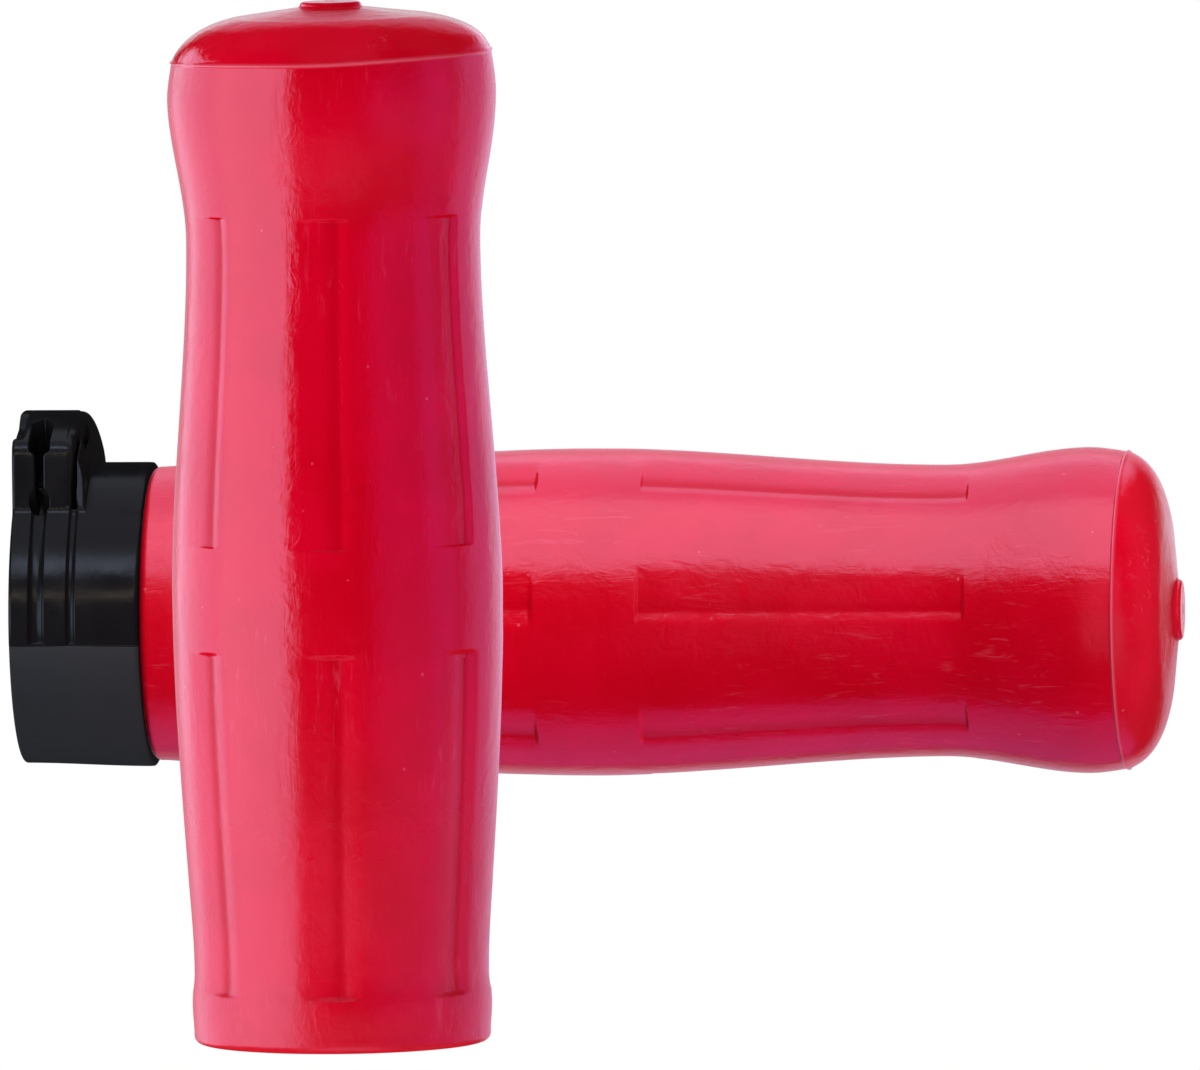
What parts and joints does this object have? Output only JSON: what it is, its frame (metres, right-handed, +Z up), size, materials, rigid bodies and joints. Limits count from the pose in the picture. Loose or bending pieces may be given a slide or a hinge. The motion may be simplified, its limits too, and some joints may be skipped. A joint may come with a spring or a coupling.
{
  "type": "motorcycle handlebar grip pair",
  "caption": "Pair of fluted rubber handlebar grips with closed ends, one plain and one on a throttle sleeve with a two-cable drum.",
  "frame": {"origin": "centre of the clutch grip's open rim, where its bore begins", "axes": "+Y along the clutch grip to its closed end, +X along the throttle grip to its closed end, +Z up from the lower grip to the upper one"},
  "size_m": [0.1408, 0.125, 0.0784],
  "materials": {
    "red_rubber": "satin moulded rubber",
    "black_plastic": "glossy injection-moulded black plastic"
  },
  "bodies": {
    "clutch_side": {"clutch_grip": "red_rubber"},
    "throttle_side": {"throttle_grip": "red_rubber", "throttle_sleeve": "black_plastic"}
  },
  "joints": [
    {"name": "throttle_twist", "type": "hinge", "parent": "clutch_side", "child": "throttle_side", "pos_m": [-0.0423, 0.0485, -0.0388], "axis": [1, 0, 0], "range_deg": [0, 80], "stiffness_Nm_per_rad": 0.2, "springref_deg": -20.05}
  ]
}
